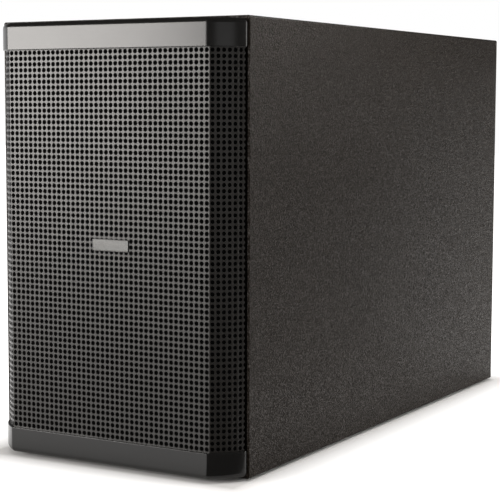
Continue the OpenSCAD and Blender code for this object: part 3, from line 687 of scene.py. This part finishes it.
class GrilleOperator(bpy.types.Operator):
    """Builds the perforated sheet: its flat part and its two curved wings"""
    bl_idname = "cabinet.grille"
    bl_label = "Grille"

    def execute(self, context):
        sizes = context.scene.cabinet_front
        self.outer = FrontCurve(sizes, GRILLE_INSET, sizes.wing_shift)
        self.inner = FrontCurve(sizes, GRILLE_INSET + sizes.sheet, sizes.wing_shift)
        self.low = GRILLE_BOX[0][2]
        self.high = GRILLE_BOX[1][2]
        self.row = (self.high - self.low) / sizes.rows
        self.pitch = 2 * self.outer.crease / sizes.flat_columns
        reach = self.outer.angle_at(GRILLE_BOX[1][1] - FRONT_Y + GRILLE_PAST)
        self.wing_step = reach / (sizes.wing_columns + sizes.wing_edge)
        self.sheet(sizes, "grille_flat", sizes.flat_columns, self.flat_point, False)
        for name, side in (("grille_wing_left", -1), ("grille_wing_right", 1)):
            self.sheet(sizes, name, sizes.wing_columns,
                       lambda column, curve, side=side: self.wing_point(column, curve, side), True)
        return {"FINISHED"}

    def flat_point(self, column, curve):
        share = column * self.pitch / self.outer.crease - 1
        return share * curve.crease, curve.inset

    def wing_point(self, column, curve, side):
        x, y = curve.arc(column * self.wing_step)
        return side * x, y

    def sheet(self, sizes, name, columns, place, cut_edge):
        """Holes in a grid of columns and rows; past a cut edge the last column is cut through."""
        sides = 10
        radius = sizes.hole_share / 2
        rim = sizes.hole_round / self.pitch
        depths = ((self.outer, 0.0, radius + rim), (self.outer, rim * self.pitch, radius),
                  (self.inner, 0.0, radius))
        verts = []
        faces = []

        def spot(column, line, curve, sink=0.0):
            x, y = place(column, curve)
            verts.append(front_point(x, y + sink, self.low + line * self.row))
            return len(verts) - 1

        corner = {}
        for depth, curve in enumerate((self.outer, self.inner)):
            for i in range(columns + 1):
                for j in range(sizes.rows + 1):
                    corner[depth, i, j] = spot(i, j, curve)
        turns = [math.radians(45) + 2 * math.pi * k / sides for k in range(sides)]
        near = [min(range(4), key=lambda q: -math.cos(turn - math.radians(45 + 90 * q))) for turn in turns]
        for i in range(columns):
            for j in range(sizes.rows):
                rings = [[spot(i + 0.5 + size * math.cos(turn), j + 0.5 + size * math.sin(turn), curve, sink)
                          for turn in turns] for curve, sink, size in depths]
                for depth, ring in ((0, rings[0]), (1, rings[2])):
                    quad = [corner[depth, i + 1, j + 1], corner[depth, i, j + 1], corner[depth, i, j],
                            corner[depth, i + 1, j]]
                    for k in range(sides):
                        other = (k + 1) % sides
                        faces.append((quad[near[k]], ring[k], ring[other]))
                        if near[k] != near[other]:
                            faces.append((quad[near[k]], ring[other], quad[near[other]]))
                for front, back in ((rings[0], rings[1]), (rings[1], rings[2])):
                    for k in range(sides):
                        other = (k + 1) % sides
                        faces.append((front[k], back[k], back[other], front[other]))
        for i in range(columns):
            for j in (0, sizes.rows):
                faces.append((corner[0, i, j], corner[0, i + 1, j], corner[1, i + 1, j], corner[1, i, j]))
        ends = [0] if cut_edge else [0, columns]
        for i in ends:
            for j in range(sizes.rows):
                faces.append((corner[0, i, j], corner[0, i, j + 1], corner[1, i, j + 1], corner[1, i, j]))
        if cut_edge:
            self.scallops(sizes, columns, spot, corner, faces)
        piece = new_piece(name, verts, faces, "cabinet", "grille_metal", ("grille",), math.radians(35))
        paint(piece, MATERIALS["grille_coat"])

    def scallops(self, sizes, columns, spot, corner, faces):
        """The strip past the last whole column, with the next column's holes cut through by the edge."""
        radius = sizes.hole_share / 2
        edge = sizes.wing_edge
        start = math.pi + math.acos((0.5 - edge) / radius)
        stop = math.pi - math.acos((0.5 - edge) / radius)
        turns = [start + (stop - start) * k / 5 for k in range(6)]
        tips = [[spot(columns + edge, j, curve) for j in range(sizes.rows + 1)]
                for curve in (self.outer, self.inner)]
        for j in range(sizes.rows):
            arcs = [[spot(columns + 0.5 + radius * math.cos(turn), j + 0.5 + radius * math.sin(turn), curve)
                     for turn in turns] for curve in (self.outer, self.inner)]
            for depth, arc in enumerate(arcs):
                foot, head = corner[depth, columns, j], corner[depth, columns, j + 1]
                faces.append((foot, tips[depth][j], arc[0]))
                faces.extend((foot, arc[k], arc[k + 1]) for k in (0, 1))
                faces.append((foot, arc[2], arc[3], head))
                faces.extend((head, arc[k], arc[k + 1]) for k in (3, 4))
                faces.append((head, arc[5], tips[depth][j + 1]))
            rims = [[tips[depth][j]] + arc + [tips[depth][j + 1]] for depth, arc in enumerate(arcs)]
            for k in range(7):
                faces.append((rims[0][k], rims[0][k + 1], rims[1][k + 1], rims[1][k]))
        for j in (0, sizes.rows):
            faces.append((corner[0, columns, j], tips[0][j], tips[1][j], corner[1, columns, j]))


class FoamOperator(bpy.types.Operator):
    """Builds the thin foam that lines the grille"""
    bl_idname = "cabinet.foam"
    bl_label = "Foam"

    def execute(self, context):
        sizes = context.scene.cabinet_front
        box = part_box("grille_foam")
        random.seed(11)
        step = 0.008
        near = FrontCurve(sizes, GRILLE_INSET + sizes.sheet, sizes.wing_shift)
        far = FrontCurve(sizes, GRILLE_INSET + sizes.sheet + sizes.foam, sizes.wing_shift)
        flat_count = round(2 * near.crease / step)
        wing_count = 6
        rows = round((box[1][2] - box[0][2]) / step)
        verts = []
        strips = []
        for curve in (near, far):
            reach = curve.angle_at(box[1][1] - FRONT_Y)
            wing = [curve.arc(reach * k / wing_count) for k in range(1, wing_count + 1)]
            flat = [((2 * k / flat_count - 1) * curve.crease, curve.inset) for k in range(flat_count + 1)]
            path = [(-x, y) for x, y in reversed(wing)] + flat + wing
            start = len(verts)
            for j in range(rows + 1):
                z = box[0][2] + (box[1][2] - box[0][2]) * j / rows
                for x, y in path:
                    sink = random.uniform(0.0001, 0.0006) if curve is near else 0.0
                    verts.append(front_point(x, y + sink, z))
            strips.append((start, len(path)))
        faces = []
        width = strips[0][1]
        for start, count in strips:
            faces += bands(rows + 1, count, False, start)
        front, back = strips[0][0], strips[1][0]
        for i in range(width - 1):
            for line in (0, rows):
                a = line * width + i
                faces.append((front + a, front + a + 1, back + a + 1, back + a))
        for j in range(rows):
            for i in (0, width - 1):
                a = j * width + i
                faces.append((front + a, front + a + width, back + a + width, back + a))
        foam = new_piece("grille_lining", verts, faces, "cabinet", "foam", ("grille_foam",))
        paint(foam, MATERIALS["foam_black"])
        return {"FINISHED"}


def bend(first, corner, last, steps):
    """Points of a curve that leaves first and reaches last, both aimed at the corner."""
    points = []
    for k in range(steps + 1):
        t = k / steps
        points.append(tuple((1 - t) ** 2 * a + 2 * t * (1 - t) * b + t * t * c
                            for a, b, c in zip(first, corner, last)))
    return points


class CapsOperator(bpy.types.Operator):
    """Builds the moulded top and bottom caps with their rounded rims"""
    bl_idname = "cabinet.caps"
    bl_label = "Caps"

    def execute(self, context):
        sizes = context.scene.cabinet_front
        for node, box, rise in (("top_cap", CAP_TOP_BOX, 1), ("bottom_cap", CAP_LOW_BOX, -1)):
            self.cap(sizes, node, box, rise)
        return {"FINISHED"}

    def outline(self, sizes, inset):
        """The cap's plan from its left end to its right end, moved inwards by inset."""
        curve = FrontCurve(sizes, inset)
        back = SIDE_BOX[0][1] - FRONT_Y - CAP_END_GAP
        reach = curve.angle_at(back)
        crease = max(sizes.crease_round - inset, 0.0001)
        end = max(sizes.end_round - inset / 2, 0.0005)
        start, stop = crease / curve.radius, reach - end / curve.radius
        last = curve.arc(reach)
        half = bend((curve.crease - crease, curve.inset), (curve.crease, curve.inset), curve.arc(start), 5)
        half += [curve.arc(start + (stop - start) * k / 24) for k in range(1, 24)]
        half += bend(curve.arc(stop), last, (last[0] - end, back), 6)
        return [(-x, y) for x, y in reversed(half)] + half

    def cap(self, sizes, node, box, rise):
        """rise is 1 where the more rounded rim is on top, and -1 where it is underneath."""
        lip, crown = sizes.lip_fillet, sizes.outer_fillet
        height = box[1][2] - box[0][2]
        base = box[0][2] if rise > 0 else box[1][2]
        profile = [(lip * (1 - math.sin(a)), lip * (1 - math.cos(a)))
                   for a in (math.radians(90 * k / 4) for k in range(5))]
        profile += [(crown * (1 - math.cos(a)), height - crown * (1 - math.sin(a)))
                    for a in (math.radians(90 * k / 8) for k in range(9))]
        verts = []
        for inset, lift in profile:
            verts += [front_point(x, y, base + rise * lift) for x, y in self.outline(sizes, inset)]
        count = len(verts) // len(profile)
        faces = [tuple(range(count)), tuple(range(len(verts) - count, len(verts)))]
        faces += bands(len(profile), count)
        piece = new_piece(node + "_moulding", verts, faces, "cabinet", "cap_plastic", (node,),
                          math.radians(40))
        shading = piece.modifiers.new("flat_faces", "WEIGHTED_NORMAL")
        shading.weight = 80
        shading.keep_sharp = True
        paint(piece, MATERIALS["cap_moulding"])


class BadgeOperator(bpy.types.Operator):
    """Builds the blank badge plate with a raised rim"""
    bl_idname = "cabinet.badge"
    bl_label = "Badge"

    def execute(self, context):
        low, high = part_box("badge")
        middle = (Vector(low) + Vector(high)) / 2
        half_x = (high[0] - low[0]) / 2
        half_z = (high[2] - low[2]) / 2
        corner = 0.0018
        rim = 0.0009
        sink = 0.0004

        def outline(shrink, y):
            points = []
            r = max(corner - shrink, 0.0003)
            for cx, cz, start in ((1, 1, 0), (-1, 1, 90), (-1, -1, 180), (1, -1, 270)):
                for k in range(5):
                    a = math.radians(start + 22.5 * k)
                    points.append(Vector((middle.x + cx * (half_x - shrink - r) + r * math.cos(a), y,
                                          middle.z + cz * (half_z - shrink - r) + r * math.sin(a))))
            return points

        loops = [outline(0, high[1]), outline(0, low[1] + 0.0005), outline(0.0004, low[1]),
                 outline(rim, low[1]), outline(rim + 0.0003, low[1] + sink)]
        verts = [p for loop in loops for p in loop]
        n = len(loops[0])
        faces = bands(len(loops), n) + [tuple(range(n)), tuple(range(len(verts) - n, len(verts)))]
        plate = new_piece("badge_plate", verts, faces, "cabinet", "badge_metal", ("badge",), math.radians(20))
        paint(plate, MATERIALS["badge_plate"])
        return {"FINISHED"}


def screw_head(place, radius, height, drive):
    """Domed head with a hexagonal recess, seen along the local z axis."""
    sides = 24
    profile = [(radius, 0.0), (radius, height * 0.45), (radius * 0.86, height * 0.85), (radius * 0.6, height),
               (drive, height), (drive, height * 0.35)]

    def spin(angle, index, r, h):
        if index >= 4:
            local = (angle + math.pi / 6) % (math.pi / 3) - math.pi / 6
            r = r * math.cos(math.pi / 6) / math.cos(local)
        return r, h

    return lathe(profile, sides, place, closed=False, spin=spin)


class ScrewsOperator(bpy.types.Operator):
    """Builds the screws and bolts with domed heads and hexagonal recesses"""
    bl_idname = "cabinet.screws"
    bl_label = "Screws"

    def execute(self, context):
        for node, axis, slot, look in (
                ("driver_screws", (0, -1, 0), "screw_steel", "black_steel"),
                ("amp_screws", (0, 1, 0), "screw_steel", "black_steel"),
                ("top_screws", (0, 0, 1), "screw_steel", "black_steel"),
                ("caster_bolts", (0, 1, 0), "zinc_steel", "zinc_plate")):
            direction = Vector(axis)
            parts = []
            for low, high in islands(node):
                middle = (low + high) / 2
                size = high - low
                height = abs(size.dot(direction))
                radius = max(size) / 2
                seat = middle - direction * height / 2
                parts.append(screw_head(axis_place(seat, axis), radius, height, radius * 0.48))
            verts, faces = join_parts(parts)
            piece = new_piece(node + "_heads", verts, faces, "cabinet", slot, (node,), math.radians(35))
            paint(piece, MATERIALS[look])
        return {"FINISHED"}


class KnobOperator(bpy.types.Operator):
    """Builds the gain knob with its grip, pointer and dial ticks"""
    bl_idname = "cabinet.knob"
    bl_label = "Gain knob"

    def execute(self, context):
        low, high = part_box("gain_knob")
        x = (low[0] + high[0]) / 2
        z = (low[2] + high[2]) / 2
        radius = (high[0] - low[0]) / 2
        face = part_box("amp_plate")[1][1]
        top = high[1] - face
        place = axis_place((x, face, z), (0, 1, 0))
        shaft = 0.003
        profile = [(shaft, low[1] - face), (shaft, 0.0004), (radius, 0.0004), (radius, 0.0024),
                   (radius - 0.0016, 0.0034), (radius - 0.0022, 0.0042), (radius - 0.0027, top - 0.0012),
                   (radius - 0.0038, top - 0.0003), (radius - 0.0052, top), (radius - 0.0062, top - 0.0005)]

        def spin(angle, index, r, h):
            if 5 <= index <= 6:
                r -= 0.0004 * (0.5 + 0.5 * math.cos(24 * angle))
            return r, h

        verts, faces = lathe(profile, 144, place, closed=False, spin=spin)
        knob = new_piece("gain_knob_grip", verts, faces, "knob", "control_plastic", ("gain_knob",),
                         math.radians(35))
        paint(knob, MATERIALS["knob_plastic"])
        line = bar_mesh((x - 0.0005, face + top - 0.0006, z + 0.0008), (x + 0.0005, face + top, z + 0.0086))
        pointer = new_piece("gain_knob_pointer", *line, "knob", "button_plastic")
        paint(pointer, MATERIALS["mark_white"])
        ticks = []
        for k in range(DIAL_TICKS):
            turn = DIAL_SWEEP * (k / (DIAL_TICKS - 1) - 0.5)
            length = 0.003 if k % 5 == 0 else 0.002
            inner = radius + 0.0022
            ticks.append(tick_mesh(x, z, face, turn, inner, length, 0.0004))
        marks = new_piece("dial_ticks", *join_parts(ticks), "cabinet", "button_plastic")
        paint(marks, MATERIALS["mark_white"])
        return {"FINISHED"}


def bar_mesh(low, high):
    """A box between two corners."""
    xs, ys, zs = zip(low, high)
    verts = [(x, y, z) for x in xs for y in ys for z in zs]
    faces = [(0, 1, 3, 2), (4, 6, 7, 5), (0, 4, 5, 1), (2, 3, 7, 6), (0, 2, 6, 4), (1, 5, 7, 3)]
    return verts, faces


def tick_mesh(x, z, face, turn, inner, length, half):
    """A thin printed tick that points away from a dial's middle, with turn 0 straight up."""
    out = Vector((-math.sin(turn), 0, math.cos(turn)))
    side = Vector((out.z, 0, -out.x)) * half
    base = Vector((x, face, z)) + out * inner
    tip = base + out * length
    lift = Vector((0, 0.00008, 0))
    quad = [base - side, base + side, tip + side, tip - side]
    verts = [p - lift for p in quad] + [p + lift for p in quad]
    faces = [(3, 2, 1, 0), (4, 5, 6, 7), (0, 1, 5, 4), (1, 2, 6, 5), (2, 3, 7, 6), (3, 0, 4, 7)]
    return verts, faces


class WheelsOperator(bpy.types.Operator):
    """Builds the caster wheels with a ribbed hub and a rubber tread"""
    bl_idname = "cabinet.wheels"
    bl_label = "Wheels"

    def execute(self, context):
        for number in range(1, 5):
            self.wheel(number)
        return {"FINISHED"}

    def wheel(self, number):
        low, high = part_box("caster_wheel_%d" % number)
        middle = (Vector(low) + Vector(high)) / 2
        radius = (high[2] - low[2]) / 2
        half = (high[0] - low[0]) / 2
        tread = half - 0.001
        bore = 0.00405
        side = [(bore, half), (bore + 0.0055, half), (bore + 0.006, half - 0.001), (bore + 0.0065, 0.005),
                (0.0215, 0.004), (0.0235, tread - 0.003), (0.0245, tread - 0.002), (0.0275, tread - 0.0015)]
        rubber = [(0.0275, tread - 0.0015), (0.0285, tread), (radius - 0.0055, tread),
                  (radius - 0.0025, tread - 0.0015), (radius - 0.0006, tread - 0.0045),
                  (radius, tread - 0.0075)]
        place = axis_place(middle, (1, 0, 0))

        def mirrored(points):
            return points + [(r, -h) for r, h in reversed(points)]

        def ribs(angle, index, r, h):
            if 0.01 < r < 0.022 and abs(h) < 0.006:
                wave = max(0.0, math.cos(6 * angle))
                h += math.copysign(0.006 * min(1.0, max(0.0, (wave - 0.85) / 0.1)), h)
            return r, h

        hub = new_piece("wheel_hub_%d" % number, *lathe(mirrored(side), 120, place, spin=ribs),
                        "wheel_%d" % number, "wheel_rubber", ("caster_wheel_%d" % number,))
        paint(hub, MATERIALS["hub_nylon"])
        tyre = new_piece("wheel_tread_%d" % number, *lathe(mirrored(rubber), 96, place),
                         "wheel_%d" % number, "wheel_rubber", ("caster_wheel_%d" % number,))
        paint(tyre, MATERIALS["tread_rubber"])


def background_rays(w):
    """1 for the rays that see the plain white background."""
    path = w.add("LightPath")
    seen = w.math("MAXIMUM", path.outputs["Is Camera Ray"], path.outputs["Is Transmission Ray"])
    return w.math("MAXIMUM", seen, path.outputs["Is Glossy Ray"])


class StageOperator(bpy.types.Operator):
    """Builds the floor, the lamps, the background and the camera"""
    bl_idname = "cabinet.stage"
    bl_label = "Stage"

    def execute(self, context):
        self.camera(context.scene)
        self.floor()
        self.flags()
        self.world(context.scene)
        self.lamps()
        context.scene.view_settings.view_transform = "Standard"
        return {"FINISHED"}

    def camera(self, scene):
        sizes = scene.cabinet_stage
        data = bpy.data.cameras.new("camera")
        data.lens = sizes.lens
        data.sensor_width = 36.0
        camera = bpy.data.objects.new("camera", data)
        scene.collection.objects.link(camera)
        yaw, pitch, roll = sizes.azimuth, sizes.pitch, sizes.roll
        ahead = Vector((-math.sin(yaw) * math.cos(pitch), math.cos(yaw) * math.cos(pitch), -math.sin(pitch)))
        right = Vector((math.cos(yaw), math.sin(yaw), 0.0))
        up = right.cross(ahead)
        right_rolled = math.cos(roll) * right + math.sin(roll) * up
        up_rolled = math.cos(roll) * up - math.sin(roll) * right
        turn = Matrix((right_rolled, up_rolled, -ahead)).transposed().to_4x4()
        eye = Vector(sizes.eye) + Vector((0, FRONT_Y, CAB_LOW))
        camera.matrix_world = Matrix.Translation(eye) @ turn
        scene.camera = camera

    def floor(self):
        floor = self.flat("floor", [(-12, -12, 0), (12, -12, 0), (12, 12, 0), (-12, 12, 0)])
        made, w, shader = material("floor_paper", 0.9, specular=0.1)
        place = w.place()
        mottle = w.noise(place, 3.0, 3.0)
        w.join(w.mix(mottle, (0.80, 0.80, 0.80, 1.0), (0.82, 0.82, 0.82, 1.0)), shader.inputs["Base Color"])
        shader.inputs["Emission Color"].default_value = (1, 1, 1, 1)
        across, along, _ = w.parts(place)
        deep = w.math("SUBTRACT", along, (FRONT_Y + REAR_Y) / 2)
        off = [w.math("MAXIMUM", w.math("SUBTRACT", w.math("ABSOLUTE", away), half), 0.0)
               for away, half in ((across, CAB_HALF), (deep, (REAR_Y - FRONT_Y) / 2))]
        distance = w.math("SQRT", w.math("ADD", w.math("MULTIPLY", off[0], off[0]),
                                         w.math("MULTIPLY", off[1], off[1])))
        # The floor's white glow fades out within 10 cm of the cabinet's footprint, which paints a contact
        # shadow round the cabinet on top of the real one.
        clear = w.math("POWER", w.span(distance, 0.0, 0.10), 0.7)
        w.join(w.math("MULTIPLY", background_rays(w), clear), shader.inputs["Emission Strength"])
        floor.data.materials.append(made)

    def flat(self, name, verts):
        """A single stage face."""
        mesh = bpy.data.meshes.new(name)
        mesh.from_pydata(verts, [], [tuple(range(len(verts)))])
        sheet = bpy.data.objects.new(name, mesh)
        bpy.context.scene.collection.objects.link(sheet)
        return sheet

    def flags(self):
        """Black cloths round the stage that only reflections see, which keep the wings and the side dark."""
        made, w, shader = material("flag_cloth", 0.9, specular=0.0)
        threads = w.noise(w.place(), 800.0, 2.0)
        w.join(w.mix(threads, (0.010, 0.010, 0.010, 1.0), (0.016, 0.016, 0.016, 1.0)),
               shader.inputs["Base Color"])
        walls = (("front_flag", (0.8, -3.4), (2.6, -2.9), 0.0, 2.2),
                 ("side_flag", (2.9, -1.3), (2.9, -0.1), 0.0, 2.2),
                 ("rear_flag", (3.0, 0.9), (0.3, 3.2), 0.56, 2.8),
                 ("near_flag", (1.2, -0.12), (0.42, 0.44), 0.001, 0.42))
        cloths = [(name, [(*near, low), (*far, low), (*far, high), (*near, high)])
                  for name, near, far, low, high in walls]
        cloths.append(("low_flag", [(0.14, -0.52, 0.001), (0.22, -0.47, 0.001), (2.9, 0.1, 0.001),
                                    (2.9, -2.6, 0.001), (0.9, -2.6, 0.001)]))
        for name, corners in cloths:
            cloth = self.flat(name, corners)
            cloth.data.materials.append(made)
            cloth.visible_camera = False
            cloth.visible_diffuse = False
            cloth.visible_shadow = False

    def world(self, scene):
        world = bpy.data.worlds.new("studio")
        world.use_nodes = True
        scene.world = world
        w = Wiring(world.node_tree)
        soft = world.node_tree.nodes["Background"]
        soft.inputs["Color"].default_value = (1.0, 0.97, 0.94, 1.0)
        soft.inputs["Strength"].default_value = 0.40
        white = w.add("Background")
        height = w.parts(w.add("TexCoord").outputs["Generated"])[2]
        path = w.add("LightPath")
        ceiling = w.math("MULTIPLY", w.span(height, -0.02, 0.30), path.outputs["Is Glossy Ray"])
        w.join(w.mix(ceiling, (1.0, 1.0, 1.0, 1.0), (0.02, 0.02, 0.02, 1.0)), white.inputs["Color"])
        both = w.add("MixShader")
        w.join(background_rays(w), both.inputs[0])
        w.join(soft.outputs[0], both.inputs[1])
        w.join(white.outputs[0], both.inputs[2])
        w.join(both.outputs[0], world.node_tree.nodes["World Output"].inputs["Surface"])

    def lamps(self):
        """Soft boxes as name, place, aim, width, height and watts, with the rays that don't see them."""
        for name, place, aim, wide, tall, power, unseen in (
                ("front_box", (-2.1, FRONT_Y - 2.35, 0.80), (-0.1, FRONT_Y, 0.50), 1.35, 1.30, 98, ()),
                ("strip_box", (0.5, FRONT_Y - 3.0, 1.2), (0, FRONT_Y, 0.6), 0.3, 1.5, 14, ()),
                ("top_box", (0.6, -0.5, 2.9), (0, -0.3, 0.3), 2.2, 2.2, 30, ("glossy",)),
                ("rim_box", (2.6, 0.42, 0.7), (0.19, FRONT_Y, 0.4), 0.55, 1.3, 14, ()),
                ("glint_box", (0.80, 0.30, 0.98), (0.2, FRONT_Y, 0.56), 0.3, 0.3, 22, ("diffuse",)),
                ("rear_box", (1.4, 0.75, 0.20), (0.2, 0.35, 0.15), 0.5, 0.3, 11, ())):
            data = bpy.data.lights.new(name, "AREA")
            data.shape = "RECTANGLE"
            data.size = wide
            data.size_y = tall
            data.energy = power
            data.color = (1.0, 0.965, 0.93)
            lamp = bpy.data.objects.new(name, data)
            bpy.context.scene.collection.objects.link(lamp)
            lamp.location = place
            lamp.rotation_euler = (Vector(aim) - Vector(place)).to_track_quat("-Z", "Y").to_euler()
            for rays in unseen:
                setattr(lamp, "visible_" + rays, False)


class CabinetPanel(bpy.types.Panel):
    """Lists the steps that build the cabinet"""
    bl_idname = "VIEW3D_PT_cabinet"
    bl_label = "Bass Cabinet"
    bl_space_type = "VIEW_3D"
    bl_region_type = "UI"
    bl_category = "Cabinet"

    def draw(self, context):
        for step in STEPS:
            self.layout.operator(step.bl_idname)


SETTINGS = {"cabinet_front": FrontSizes, "cabinet_finishes": Finishes, "cabinet_stage": StageSizes}
STEPS = (StageOperator, MaterialsOperator, DressOperator, CapsOperator, GrilleOperator, FoamOperator,
         BadgeOperator, ScrewsOperator, KnobOperator, WheelsOperator)


def register():
    for item in (*SETTINGS.values(), *STEPS, CabinetPanel):
        bpy.utils.register_class(item)
    for name, kind in SETTINGS.items():
        setattr(bpy.types.Scene, name, PointerProperty(type=kind))


def unregister():
    for name in SETTINGS:
        delattr(bpy.types.Scene, name)
    for item in reversed((*SETTINGS.values(), *STEPS, CabinetPanel)):
        bpy.utils.unregister_class(item)


def main():
    register()
    for step in STEPS:
        group, call = step.bl_idname.split(".")
        getattr(getattr(bpy.ops, group), call)()


if __name__ == "__main__":
    main()
